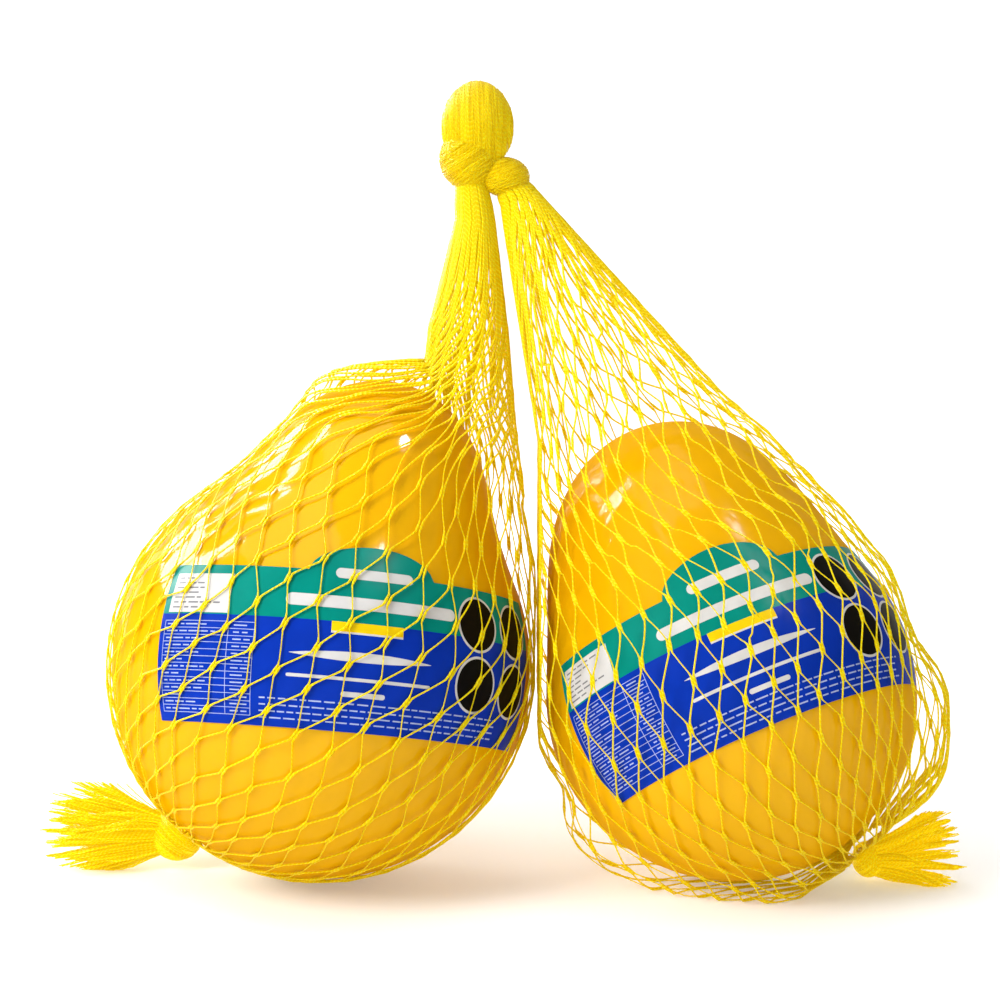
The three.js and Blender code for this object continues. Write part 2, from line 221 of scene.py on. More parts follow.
def pear_piece(node, pear, folds):
    """Skin of one cheese."""
    points, aim = pear_points(pear)
    height = lump_height(points) + fold_height(points, pear, folds)
    points = points + aim * height[:, None]
    points[:, 2] = np.maximum(points[:, 2], FLOOR_GAP)
    piece_from(node + "_skin", points, pear_faces(), node, [RIND])


# Net form: a tube from each tassel, round its cheese and up to the knot.
# It hangs through a row of balls, each given as x, y, z, radius; angles are in degrees.
NET_BLEND = 12
SPINE_TENSION = 85
LEFT_HANG = [
    (-7.8, 0, 200, 1.6),
    (-10.2, 0, 162, 8.6),
    (-11.2, 0, 86, 16),
    (-46, 0, 140, 6),
    (-17, 0, 146, 5),
]
LEFT_TASSEL_AIM = {"down": 49.5, "back": 9}
RIGHT_HANG = [
    (3.4, 0, 203, 1.6),
    (58, -3, 74, 52),
    (104, -3, 46.5, 24.5),
    (77, -17, 12, 12),
    (60, -12, 13, 11),
    (38, -8, 21.5, 14),
]
RIGHT_TASSEL_AIM = {"down": 50, "back": 2}
PARTING = {"x": 9.9, "top_x": -1.5, "z": 130, "top_z": 200, "soft": 0.4}
TASSEL_END_RADIUS = 4
NECK_END_RADIUS = 2.6
MESHES_ROUND = 42
BAR_LENGTH = 11


def tassel_aim(place, side):
    """Direction in which a tassel leaves its cheese."""
    down, back = math.radians(place["down"]), math.radians(place["back"])
    level = math.cos(down) * math.cos(back)
    return vec(side * level, math.sin(back), -math.sin(down) * math.cos(back))


def hang_net(pear, balls, tassel_place, side):
    """One half of the net: the cheese's skin joined with a tube that hangs through a row of balls."""
    top, shoulder = (vec(*ball[:3]) for ball in balls[:2])

    def field(points):
        cones = [cone_distance(points, high, low) for high, low in zip(balls, balls[1:])]
        return smooth_min(pear["field"](points), np.min(cones, axis=0), NET_BLEND)

    aim = tassel_aim(tassel_place, side)
    tail = pear["body"] + reach(field, pear["body"], aim[None])[0] * aim
    rise = unit(top - shoulder)
    spine = np.stack([tail, tail - SPINE_TENSION * aim, top - SPINE_TENSION * rise, top])
    net = {"field": field, "spine": spine, "aim": aim, "tail": tail, "side": side, "pear": pear}
    return net | row_table(net)


def along_spine(net, share):
    """Points and directions at shares of the spine, a curve with four control points."""
    s = share[:, None]
    a, b, c, d = net["spine"]
    point = (1 - s) ** 3 * a + 3 * (1 - s) ** 2 * s * b + 3 * (1 - s) * s**2 * c + s**3 * d
    slope = (1 - s) ** 2 * (b - a) + 2 * (1 - s) * s * (c - b) + s**2 * (d - c)
    return point, unit(slope)


def net_points(net, angle, share):
    """Points of the net's form at angles round the spine and shares of its length."""
    centre, axis = along_spine(net, share)
    level = unit(np.cross(vec(0, 1, 0), axis))
    out = np.cross(axis, level)
    aim = np.cos(angle)[:, None] * level + np.sin(angle)[:, None] * out
    return centre + reach(net["field"], centre, aim)[:, None] * aim


def row_table(net, stations=200, samples=24):
    """Number of rows, and row number, share and radius along the spine, with rows a bar apart."""
    shares = np.arange(1, stations) / stations
    turns = 2 * np.pi * np.arange(samples) / samples
    share_grid, turn_grid = np.meshgrid(shares, turns, indexing="ij")
    points = net_points(net, turn_grid.ravel(), share_grid.ravel()).reshape(len(shares), samples, 3)
    round_length = np.linalg.norm(points - np.roll(points, -1, axis=1), axis=2).sum(1)
    run = np.linalg.norm(np.diff(points, axis=0), axis=2).mean(1)
    radius = round_length / (2 * np.pi)
    first = np.argmax(radius > TASSEL_END_RADIUS)
    last = len(radius) - 1 - np.argmax(radius[::-1] > NECK_END_RADIUS)
    half_mesh = round_length / MESHES_ROUND / 2
    step = np.sqrt(BAR_LENGTH**2 - half_mesh**2)
    phase = np.concatenate([[0], np.cumsum(run[first:last] / step[first + 1:last + 1])])
    rows = int(round(phase[-1]))
    return {
        "rows": rows,
        "row_of": phase * rows / phase[-1],
        "share_of": shares[first:last + 1],
        "radius_of": radius[first:last + 1],
    }


# Threads: bars between joins, thicker in the joins and in the neck, lifted off the net's form.
# The step shares lie along one bar, closest together near its joins.
JOIN_LENGTH = 3.4
JOIN_SHARE = 0.27
THREAD_RADIUS = 0.25
THIN_RADIUS = 0.18
NECK_RADIUS = 0.39
JOIN_RADIUS = 0.44
THREAD_SIDES = 5
THREAD_CLEAR = JOIN_RADIUS + 0.05
THREAD_LIFT = 1.15
SLACK_LIFT = 1.7
SLACK_FADE = 4
SLACK_HEIGHT = 1.1
SLACK_WAVES = [(5, 1.1), (3, -0.7)]
STEP_SHARES = np.array([0, 0.13, 0.24, 0.4, 0.55, 0.7, 0.82, 0.92])
PLY_SHIFT = 1.13

# Lay of the threads: side by side in the joins and a little uneven, in shares of a join or a mesh,
# twisted and bundled in the neck, and spread wide on one side; twist and facing are in degrees.
LOOSE_RADIUS = 45
JOIN_BESIDE, JOIN_ROOM = 0.8, 0.3
UNEVEN_ANGLE = 0.1
UNEVEN_ROW, LOOSE_UNEVEN_ROW = 0.05, 0.3
LEFT_THREADS = {"seed": 5, "twist": 75, "lean": 0}
RIGHT_THREADS = {"seed": 6, "twist": 0, "lean": 0.3}
TWIST_FROM, TWIST_TO = 122, 178
LEFT_OPENING = {"share": 0.5, "facing": -90, "from": 70, "full": 105, "fade": 140, "end": 170}
RIGHT_OPENING = {"share": 0.5, "facing": 0, "from": 85, "full": 130, "fade": 170, "end": 210}
BUNDLES, BUNCH, BUNCH_WAVE = 15, 0.6, 30
BUNCH_FROM, BUNCH_TO = 105, 150

# Ends of the threads, which run on into the knots and draw together there.
TASSEL_RUN, TASSEL_GATHER = 4 * THREAD_LIFT, 0.3
KNOT_RUN_SHARES, KNOT_GATHER = (0.25, 0.5, 0.75, 1), 0.35


def kept(net, points):
    """Points kept above the floor and on their own side of the parting line."""
    points = points.copy()
    points[:, 2] = np.maximum(points[:, 2], THREAD_CLEAR)
    climb = np.clip((points[:, 2] - PARTING["z"]) / (PARTING["top_z"] - PARTING["z"]), 0, 1)
    line = PARTING["x"] + climb * (PARTING["top_x"] - PARTING["x"]) + net["side"] * THREAD_CLEAR
    beyond = net["side"] * (points[:, 0] - line)
    beyond = (beyond + np.sqrt(beyond**2 + PARTING["soft"] ** 2)) / 2
    points[:, 0] = line + net["side"] * beyond
    return points


def between_rows(at_rows, shares):
    """Values along each thread, at shares of the way from row to row and at the last row."""
    steps = at_rows[:, :-1, None] + np.diff(at_rows)[:, :, None] * shares
    return np.hstack([steps.reshape(len(at_rows), -1), at_rows[:, -1:]])


def zigzag(net, draw):
    """Angle and row number along each thread, which meets its two neighbours by turns."""
    rows, chains = net["rows"], 2 * MESHES_ROUND
    half = np.pi / MESHES_ROUND
    row, chain = np.arange(rows + 1), np.arange(chains)
    # At each row a thread is in a join, on one hand of it or the other.
    joint = chain[:, None] + (chain[:, None] - row[None]) % 2
    hand = np.where(joint == chain[:, None], 1, -1)
    radius = np.interp(row, net["row_of"], net["radius_of"])
    beside = np.minimum(JOIN_BESIDE * JOIN_RADIUS / (radius + THREAD_LIFT), JOIN_ROOM * half)
    jitter = draw.normal(0, UNEVEN_ANGLE, (rows + 1, chains)) * half
    loose = UNEVEN_ROW + LOOSE_UNEVEN_ROW * smooth_step(1 - radius / LOOSE_RADIUS)
    slide = draw.normal(0, 1, (rows + 1, chains)) * loose[:, None]
    slide[[0, -1]] = 0
    at_joint = (row[None], joint % chains)
    angle = joint * half + jitter[at_joint] + hand * beside[None]
    place = row[None] + slide[at_joint]
    flat = JOIN_LENGTH / 2 / BAR_LENGTH
    eased = np.clip((STEP_SHARES - flat) / (1 - 2 * flat), 0, 1)
    return between_rows(angle, eased), between_rows(place, STEP_SHARES)


def thread_radius(net):
    """Radius along each thread: thin in bars that lean one way, thick in the neck and in the joins."""
    chain, row = np.meshgrid(np.arange(2 * MESHES_ROUND), np.arange(net["rows"]), indexing="ij")
    bar = np.where((chain - row) % 2 == 0, THREAD_RADIUS, THIN_RADIUS)
    loose = smooth_step(1 - np.interp(row, net["row_of"], net["radius_of"]) / LOOSE_RADIUS)
    bar = np.repeat(bar + (NECK_RADIUS - bar) * loose, len(STEP_SHARES), axis=1)
    to_join = np.tile(np.minimum(STEP_SHARES, 1 - STEP_SHARES), net["rows"])
    radius = bar + (JOIN_RADIUS - bar) * smooth_step(1 - to_join / JOIN_SHARE)
    # One point runs on into the tassel; the last row and the points run on into the knot follow.
    run_on = (1, 1 + len(KNOT_RUN_SHARES))
    return np.pad(radius, ((0, 0), run_on), constant_values=NECK_RADIUS)


def bunching(turned, height):
    """Turn that draws the slack threads under the knot together in bundles."""
    rise = smooth_step((height - BUNCH_FROM) / (BUNCH_TO - BUNCH_FROM))
    return rise * BUNCH / BUNDLES * np.sin(BUNDLES * turned + height / BUNCH_WAVE)


def spreading(turned, height, opening):
    """Turn that spreads the threads on one side of the net and crowds them on the other."""
    rise = smooth_step((height - opening["from"]) / (opening["full"] - opening["from"]))
    fade = smooth_step((height - opening["fade"]) / (opening["end"] - opening["fade"]))
    return opening["share"] * np.sin(turned - math.radians(opening["facing"])) * rise * (1 - fade)


def turned_angles(net, angles, height, lay, opening):
    """Angles with the neck's twist, the lean of the meshes, the wide side and the bundles."""
    twist = math.radians(lay["twist"]) * smooth_step((height - TWIST_FROM) / (TWIST_TO - TWIST_FROM))
    turned = angles + twist + lay["lean"] * height / net["pear"]["radius"]
    turned = turned + spreading(turned, height, opening)
    return turned + bunching(turned, height)


def slack_wave(turned, row, height):
    """Waves of the net where it hangs free of the skin, below the twist."""
    wave = np.where(height < TWIST_FROM, SLACK_HEIGHT, 0)
    for waves_round, waves_a_row in SLACK_WAVES:
        wave = wave * np.sin(waves_round * turned + waves_a_row * row)
    return wave


def gathered(points, out, tassel, knot):
    """Threads run on at both ends, drawn together into the tassel's knot and the top knot."""
    into_tassel = tassel + TASSEL_GATHER * (points[:, :1] - tassel)
    last = points[:, -1:]
    centre = last.mean(0)
    into_knot = []
    for share in KNOT_RUN_SHARES:
        drawn_in = KNOT_GATHER * smooth_step(share) * (last - centre)
        into_knot.append(last + share * (knot - centre) - drawn_in)
    points = np.concatenate([into_tassel, points, *into_knot], axis=1)
    out = np.concatenate([out[:, :1], out] + [out[:, -1:]] * len(into_knot), axis=1)
    return points, out


def chain_paths(net, lay, opening, knot):
    """Threads of one half of the net, as chains of points with their outward directions."""
    angles, rows = zigzag(net, np.random.default_rng(lay["seed"]))
    chains = len(angles)
    angles, rows = angles.ravel(), rows.ravel()
    share = np.interp(rows, net["row_of"], net["share_of"])
    height = along_spine(net, share)[0][:, 2]
    turned = turned_angles(net, angles, height, lay, opening)
    points = net_points(net, turned, share)
    out = gradient(net["field"], points)
    off_skin = np.clip(net["pear"]["field"](points) / SLACK_FADE, 0, 1)
    lift = THREAD_LIFT + (SLACK_LIFT + slack_wave(turned, rows, height)) * off_skin
    points = kept(net, points + out * lift[:, None])
    points, out = points.reshape(chains, -1, 3), out.reshape(chains, -1, 3)
    return gathered(points, out, net["tail"] + net["aim"] * TASSEL_RUN, knot)


def thread_uvs(paths, sides):
    """UVs of tubes: U is the number of the thread plus the share round it, and V the length along it."""
    count, length = paths.shape[:2]
    run = np.linalg.norm(np.diff(paths, axis=1), axis=2)
    run = np.concatenate([np.zeros((count, 1)), np.cumsum(run, axis=1)], axis=1)
    run = run + PLY_SHIFT * np.random.default_rng(count).permutation(count)[:, None]
    v_near = np.repeat(run[:, :-1].ravel(), sides)
    v_far = np.repeat(run[:, 1:].ravel(), sides)
    thread = np.repeat(np.arange(count), (length - 1) * sides)
    u_near = thread + np.tile(np.arange(sides) / sides, count * (length - 1))
    u_far = u_near + 1 / sides
    corners = [(u_near, v_near), (u_far, v_near), (u_far, v_far), (u_near, v_far)]
    return np.stack([np.stack(corner, axis=1) for corner in corners], axis=1).reshape(-1, 2)


def tubes(paths, outs, radius, sides):
    """Points, quads and UVs of tubes that follow paths with the same number of points."""
    count, length = paths.shape[:2]
    along = unit(np.gradient(paths, axis=1))
    normal = unit(outs - (outs * along).sum(2, keepdims=True) * along)
    across = np.cross(along, normal)
    turn = 2 * np.pi * np.arange(sides) / sides
    radius = np.broadcast_to(radius, (count, length))[:, :, None, None]
    ring = np.cos(turn)[:, None] * normal[:, :, None] + np.sin(turn)[:, None] * across[:, :, None]
    points = (paths[:, :, None] + radius * ring).reshape(-1, 3)
    index = np.arange(len(points)).reshape(count, length, sides)
    near, far = index[:, :-1], index[:, 1:]
    quads = np.stack([near, np.roll(near, -1, 2), np.roll(far, -1, 2), far], axis=-1).reshape(-1, 4)
    return points, quads, thread_uvs(paths, sides)


def thread_piece(name, groups, replaced, material):
    """One yarn piece from several groups of tubes."""
    points, faces = joined([(points, quads) for points, quads, uvs in groups])
    piece = piece_from(name, points, faces, replaced, [material])
    layer = piece.data.uv_layers.new(name="thread")
    layer.data.foreach_set("uv", np.vstack([uvs for _, _, uvs in groups]).astype(np.float32).ravel())


def net_piece(node, net, lay, opening, knot):
    """Threads of one half of the net, which run on to a knot."""
    paths, outs = chain_paths(net, lay, opening, vec(*knot))
    threads = tubes(paths, outs, thread_radius(net), THREAD_SIDES)
    thread_piece(node + "_threads", [threads], node, NET_YARN)


# Labels: fields of ink on a bent film, placed in millimetres along and up from the label's middle.
# Fields on layer 0 lie on the film, those on layers 1 and 2 on other fields; angles are in degrees.
LABEL = {"width": 124.5, "height": 43.3, "hump_width": 37, "hump_height": 8}
FILM_LIFT, FILM_FOOT, LAYER_LIFT = 0.5, 0.02, 0.03
LEFT_LABEL = {"turn": -8.4, "yaw": 17.2, "pitch": 12.6, "seed": 3}
RIGHT_LABEL = {"turn": 21.5, "yaw": 1.6, "pitch": 24.9, "seed": 4}
INK_COLOURS = {
    "green": (0.001, 0.215, 0.17),
    "blue": (0.003, 0.03, 0.36),
    "white": (0.6, 0.59, 0.58),
    "yellow": (0.8, 0.55, 0.004),
    "dark": (0.005, 0.004, 0.003),
    "grey": (0.2, 0.2, 0.21),
    "pale": (0.36, 0.42, 0.66),
}
INKS = list(INK_COLOURS)

# Fields: a green top over blue, a patch, bars, a lens, rows of strokes, discs and a ruled patch.
GREEN_EDGE = 7.5
FILM_COLUMNS, GREEN_ROWS, BLUE_ROWS = 140, 10, 14
WHITE_PATCH = {"left": -60, "right": -40, "low": 7.9, "high": 19, "rows": 7, "inset": 1.2, "margin": 1.4}
YELLOW_BAR = {"left": -11, "right": 8.7, "low": 4.9, "high": 7.5, "foot": 0.5}
WHITE_BARS = [
    {"left": -22, "right": 18, "up": -7.5, "half": 0.45},
    {"left": -7, "right": 5.2, "up": -11.5, "half": 0.7},
    {"left": -11, "right": 11.8, "up": 21.2, "half": 1.5},
    {"left": -24, "right": 25, "up": 12.8, "half": 1.7},
]
LENS = {"left": -22, "right": 18, "up": -1.6, "half": 1.3}
STROKE_ROWS = {"left": -29, "right": 46, "first": -14, "step": 1.75, "count": 4}
DISC_RADIUS, DISC_RIM = 7.9, 0.7
DISCS = [(34, 11.6), (51.8, 11.6), (34, -5.2), (51.8, -5.2)]
RULED_PATCH = {"left": -60.5, "column": -39, "right": -31.5, "low": -19, "high": 5.6, "rows": 13}
RULED_INSET, COLUMN_INSET = 1, 1.5
RULE_HALF, RULE_CUTS = 0.09, 14

# Strokes: half heights in each place, and the ranges that lengths are drawn from.
PATCH_STROKE, ROW_STROKE, RULED_STROKE = 0.22, 0.2, 0.18
STROKE_LENGTH, STROKE_GAP, SHORT_ROW = (1.2, 4.2), (0.5, 0.9), (6, 18)
LEAST_STROKE = 1

# Cuts that let a field bend with the film; round ends stop an angle short of a point.
BOX_COLUMN, BOX_ROW = 1.5, 2
BLUNT = 0.1
BAR_END_CUTS, BAR_CUTS, BAR_ROWS = 7, 22, 2
DISC_CUTS, DISC_ROWS = 25, 8
LENS_END, LENS_CUTS, LENS_ROWS = 0.98, 41, 2


def label_axes(place):
    """Front, along and up directions of a label."""
    yaw, pitch, turn = (math.radians(place[key]) for key in ("yaw", "pitch", "turn"))
    front = vec(math.sin(yaw) * math.cos(pitch), -math.cos(yaw) * math.cos(pitch), math.sin(pitch))
    across = vec(math.cos(yaw), math.sin(yaw), 0)
    up = np.cross(front, across)
    along = across * math.cos(turn) + up * math.sin(turn)
    return front, along, np.cross(front, along)


def on_label(pear, axes, along, up, lift):
    """Points on the film, lifted off the skin."""
    front, level, rise = axes
    a, b = along / pear["radius"], up / pear["radius"]
    level_aim = np.outer(np.cos(a), front) + np.outer(np.sin(a), level)
    aim = level_aim * np.cos(b)[:, None] + np.outer(np.sin(b), rise)
    height = reach(pear["field"], pear["body"], aim) + lift
    return pear["body"] + height[:, None] * aim


def field_between(ink, along, low, high, layer, rows=1):
    """One field of ink between a lower and an upper edge."""
    share = np.linspace(0, 1, rows + 1)
    low, high = np.broadcast_to(low, along.shape), np.broadcast_to(high, along.shape)
    up = low[:, None] + (high - low)[:, None] * share
    return {"ink": ink, "along": np.repeat(along[:, None], rows + 1, 1), "up": up, "layer": layer}


def box_field(ink, left, right, low, high, layer):
    """A rectangle of ink."""
    columns = max(2, math.ceil((right - left) / BOX_COLUMN))
    rows = max(1, math.ceil((high - low) / BOX_ROW))
    return field_between(ink, np.linspace(left, right, columns + 1), low, high, layer, rows)


def bar_field(ink, left, right, up, half, layer):
    """A bar with round ends."""
    end = half * (1 - np.cos(np.linspace(BLUNT, np.pi / 2, BAR_END_CUTS)))
    middle = np.linspace(left + half, right - half, BAR_CUTS)[1:-1]
    along = np.concatenate([left + end, middle, right - end[::-1]])
    inset = np.maximum(np.maximum(left + half - along, along - right + half), 0) / half
    tall = half * np.sqrt(1 - inset**2)
    return field_between(ink, along, up - tall, up + tall, layer, BAR_ROWS)


def disc_field(ink, along, up, radius, layer):
    """A plain disc."""
    turn = np.linspace(BLUNT, np.pi - BLUNT, DISC_CUTS)
    tall = radius * np.sin(turn)
    return field_between(ink, along - radius * np.cos(turn), up - tall, up + tall, layer, DISC_ROWS)


def lens_field(ink, left, right, up, half, layer):
    """A flat lens that thins out to both ends."""
    share = np.linspace(-LENS_END, LENS_END, LENS_CUTS)
    along = (left + right) / 2 + (right - left) / 2 * share
    tall = half * (1 - share**2)
    return field_between(ink, along, up - tall, up + tall, layer, LENS_ROWS)


def strokes(ink, left, right, up, half, layer, draw):
    """A row of short strokes."""
    fields = []
    start = left
    while start < right - LEAST_STROKE:
        end = min(start + draw.uniform(*STROKE_LENGTH), right)
        fields.append(box_field(ink, start, end, up - half, up + half, layer))
        start = end + draw.uniform(*STROKE_GAP)
    return fields


def film_fields():
    """The green top with its hump and the blue below it, which cover the film."""
    side, edge = LABEL["width"] / 2, LABEL["height"] / 2
    along = np.linspace(-side, side, FILM_COLUMNS + 1)
    share = 2 * along / LABEL["hump_width"]
    hump = LABEL["hump_height"] * np.sqrt(np.maximum(1 - share**2, 0))
    return [
        field_between("green", along, GREEN_EDGE, edge + hump, 0, GREEN_ROWS),
        field_between("blue", along, -edge, GREEN_EDGE, 0, BLUE_ROWS),
    ]


def plain_fields():
    """The white patch, the bars and the lens."""
    patch, bar = WHITE_PATCH, YELLOW_BAR
    fields = [
        box_field("white", patch["left"], patch["right"], patch["low"], patch["high"], 1),
        box_field("yellow", bar["left"], bar["right"], bar["low"], bar["high"], 1),
        box_field("white", bar["left"], bar["right"], bar["low"] - bar["foot"], bar["low"], 1),
    ]
    fields += [bar_field("white", layer=1, **sizes) for sizes in WHITE_BARS]
    return fields + [lens_field("white", layer=1, **LENS)]


def stroke_fields(draw):
    """Short rows of strokes on the white patch, and full rows near the lower edge."""
    patch, rows = WHITE_PATCH, STROKE_ROWS
    fields = []
    for up in np.linspace(patch["high"] - patch["margin"], patch["low"] + patch["margin"], patch["rows"]):
        right = patch["left"] + draw.uniform(*SHORT_ROW)
        fields += strokes("grey", patch["left"] + patch["inset"], right, up, PATCH_STROKE, 2, draw)
    for row in range(rows["count"]):
        up = rows["first"] - row * rows["step"]
        fields += strokes("pale", rows["left"], rows["right"], up, ROW_STROKE, 1, draw)
    return fields


def disc_fields():
    """Dark discs with a white rim."""
    fields = []
    for along, up in DISCS:
        fields.append(disc_field("white", along, up, DISC_RADIUS, 1))
        fields.append(disc_field("dark", along, up, DISC_RADIUS - DISC_RIM, 2))
    return fields


def ruled_fields(draw):
    """A ruled patch with strokes in its two columns."""
    left, column, right = (RULED_PATCH[key] for key in ("left", "column", "right"))
    low, high, rows = (RULED_PATCH[key] for key in ("low", "high", "rows"))
    fields = []
    for along in (left, column, right):
        sides = np.array([along - RULE_HALF, along + RULE_HALF])
        fields.append(field_between("pale", sides, low, high, 1, RULE_CUTS))
    step = (high - low) / rows
    for row in range(rows + 1):
        up = low + row * step
        fields.append(box_field("pale", left, right, up - RULE_HALF, up + RULE_HALF, 1))
        if row < rows:
            middle = up + step / 2
            end = left + draw.uniform(*SHORT_ROW)
            fields += strokes("pale", left + RULED_INSET, end, middle, RULED_STROKE, 1, draw)
            start = column + COLUMN_INSET
            fields += strokes("pale", start, right - RULED_INSET, middle, RULED_STROKE, 1, draw)
    return fields


def ink_mesh(pear, axes, field):
    """Points and quads of one field of ink."""
    lift = FILM_LIFT + LAYER_LIFT * field["layer"]
    points = on_label(pear, axes, field["along"].ravel(), field["up"].ravel(), lift)
    index = np.arange(len(points)).reshape(field["along"].shape)
    corners = [index[:-1, :-1], index[1:, :-1], index[1:, 1:], index[:-1, 1:]]
    return points, np.stack(corners, axis=-1).reshape(-1, 4)


def film_rim(pear, axes, green, blue):
    """Cut edge of the film, from the ink down to the skin."""

    def round_edge(key):
        """One measure along the bottom, up the right side, back along the top and down the left side."""
        top, bottom = green[key], blue[key]
        right_side, left_side = [bottom[-1], top[-1]], [top[0, ::-1], bottom[0, ::-1]]
        return np.concatenate([bottom[:, 0], *right_side, top[::-1, -1], *left_side])

    along, up = round_edge("along"), round_edge("up")
    foot, top = (on_label(pear, axes, along, up, lift) for lift in (FILM_FOOT, FILM_LIFT))
    place = np.arange(len(top))
    beside = (place + 1) % len(top)
    quads = np.stack([place, beside, beside + len(top), place + len(top)], axis=1)
    return np.vstack([foot, top]), quads


def label_piece(node, pear, place):
    """One printed label."""
    draw = np.random.default_rng(place["seed"])
    film = film_fields()
    fields = film + plain_fields() + stroke_fields(draw) + disc_fields() + ruled_fields(draw)
    axes = label_axes(place)
    meshes = [ink_mesh(pear, axes, field) for field in fields]
    meshes.append(film_rim(pear, axes, *film))
    inks = [field["ink"] for field in fields] + ["blue"]
    points, faces = joined(meshes)
    materials = [INK_MATERIALS[ink] for ink in INKS]
    piece = piece_from(node + "_print", points, faces, node, materials)
    ink_numbers = [np.full(len(quads), INKS.index(ink)) for ink, (_, quads) in zip(inks, meshes)]
    piece.data.polygons.foreach_set("material_index", np.concatenate(ink_numbers))


# Yarn of the knots: oval cores with fine yarn laid or wound over them.
# Sizes of the lay are shares of an oval's radii, and angles in ARCH and WIND are in radians.
YARN_RADIUS = 0.16
YARN_SIDES = 4
YARN_UNEVEN = 0.006
CORE = {"scale": 0.96, "rings": 20, "sides": 28, "end": 0.02}
ARCH = {"turn": math.radians(150), "steps": 34, "reach": 0.97, "edge": 0.985, "uneven": 0.01}
ARCH_SWAY = {"width": 0.04, "waves": 2.2, "shift": 6.3}
WIND = {"steps": 41, "end": 0.2, "sway": 0.06, "waves": 2}

# Top knot: a folded bight of gathered yarn, a collar wound round it and a hitch.
BIGHT = {"at": (-7.5, 0, 220.6), "radii": (10.4, 8.6, 13.4), "yarns": 260}
COLLAR = {"at": (-9.9, -0.5, 211.8), "radii": (8.5, 8.2, 8.8), "slant": -32, "yarns": 120}
HITCH = {"at": (0.5, -1, 206.6), "radii": (7, 6.4, 5.6), "slant": -24, "yarns": 90}
TOP_KNOT_SEED = 17


def oval_core(at, radii):
    """Oval that fills a bundle of yarn."""
    polar = np.linspace(CORE["end"], np.pi - CORE["end"], CORE["rings"])
    path = np.outer(-np.cos(polar), vec(0, 0, 1))[None]
    outs = np.broadcast_to(vec(1, 0, 0), path.shape)
    points, quads, uvs = tubes(path, outs, np.sin(polar), CORE["sides"])
    return vec(*at) + points * vec(*radii) * CORE["scale"], quads, uvs


def arched_yarn(at, radii, count, draw):
    """Yarn that runs up over an oval from front to back."""
    share = np.linspace(-ARCH["reach"], ARCH["reach"], count) + draw.normal(0, ARCH["uneven"], count)
    turn = np.linspace(-ARCH["turn"], ARCH["turn"], ARCH["steps"])
    depth = 1 + draw.normal(0, YARN_UNEVEN, (count, 1))
    shift = draw.uniform(0, ARCH_SWAY["shift"], (count, 1))
    sway = ARCH_SWAY["width"] * np.sin(ARCH_SWAY["waves"] * turn[None] + shift)
    across = np.clip(share[:, None] + sway, -ARCH["edge"], ARCH["edge"])
    ring = np.sqrt(1 - across**2) * depth
    path = np.stack([across * depth, ring * np.sin(turn), ring * np.cos(turn)], axis=-1)
    return tubes(vec(*at) + path * vec(*radii), path, YARN_RADIUS, YARN_SIDES)


def slanted(points, slant):
    """Points turned about the Y axis by an angle in degrees."""
    turn = math.radians(slant)
    x, y, z = np.moveaxis(points, -1, 0)
    turned_x = x * math.cos(turn) + z * math.sin(turn)
    turned_z = z * math.cos(turn) - x * math.sin(turn)
    return np.stack([turned_x, y, turned_z], axis=-1)


def wound_yarn(at, radii, slant, count, draw):
    """Yarn wound round an oval knot."""
    turn = np.linspace(0, 2 * np.pi, WIND["steps"])
    shift = draw.uniform(0, 2 * np.pi, (count, 1))
    sway = WIND["sway"] * np.sin(WIND["waves"] * turn + shift)
    lay = np.linspace(WIND["end"], np.pi - WIND["end"], count)[:, None] + sway
    depth = 1 + draw.normal(0, YARN_UNEVEN, (count, 1))
    ring = np.sin(lay)
    ball = np.stack([ring * np.cos(turn), ring * np.sin(turn), np.cos(lay)], axis=-1)
    ball = slanted(ball, slant) * depth[..., None]
    return tubes(vec(*at) + ball * vec(*radii), ball, YARN_RADIUS, YARN_SIDES)


def top_knot_piece(node):
    """The whole top knot."""
    draw = np.random.default_rng(TOP_KNOT_SEED)
    groups = [oval_core(lump["at"], lump["radii"]) for lump in (BIGHT, COLLAR, HITCH)]
    groups.append(arched_yarn(BIGHT["at"], BIGHT["radii"], BIGHT["yarns"], draw))
    for lump in (COLLAR, HITCH):
        groups.append(wound_yarn(lump["at"], lump["radii"], lump["slant"], lump["yarns"], draw))
    thread_piece(node + "_yarn", groups, node, KNOT_YARN)


# Tassels: a wound knot and a brush of cut ends, which gather in pointed locks.
TASSEL_OUT = 9
FLOOR_CLEAR = 0.3
LEFT_KNOT = {"radii": (8, 8, 8.2), "slant": 40}
LEFT_BRUSH = {"length": 41, "root": 5, "tip": 15.5, "depth": 0.7, "rise": 1.2, "back": -2, "seed": 11}
RIGHT_KNOT = {"radii": (4.8, 5.4, 5.4), "slant": -40}
RIGHT_BRUSH = {"length": 28.5, "root": 4.8, "tip": 13.6, "depth": 0.7, "rise": 2.5, "back": -3, "seed": 29}
KNOT_YARNS = 100
BRUSH_THREADS, BRUSH_LOCKS, BRUSH_STEPS = 900, 34, 18
BRUSH_FLARE = 1.3
BRUSH_GATHER = 0.72
BRUSH_RAGGED, LOCK_SHARE, THREAD_SHARE = 0.3, 0.6, 0.4
BRUSH_ROUND = 0.22
BRUSH_POINT = 0.75
BRUSH_CRIMP, CRIMP_TURN_PER_MM = 0.05, 1.7


def scatter(draw, count):
    """Places spread evenly over a disc of radius one."""
    turn = draw.uniform(0, 2 * np.pi, count)
    spread = np.sqrt(draw.uniform(0, 1, count))
    return np.stack([spread * np.sin(turn), spread * np.cos(turn)], axis=1)


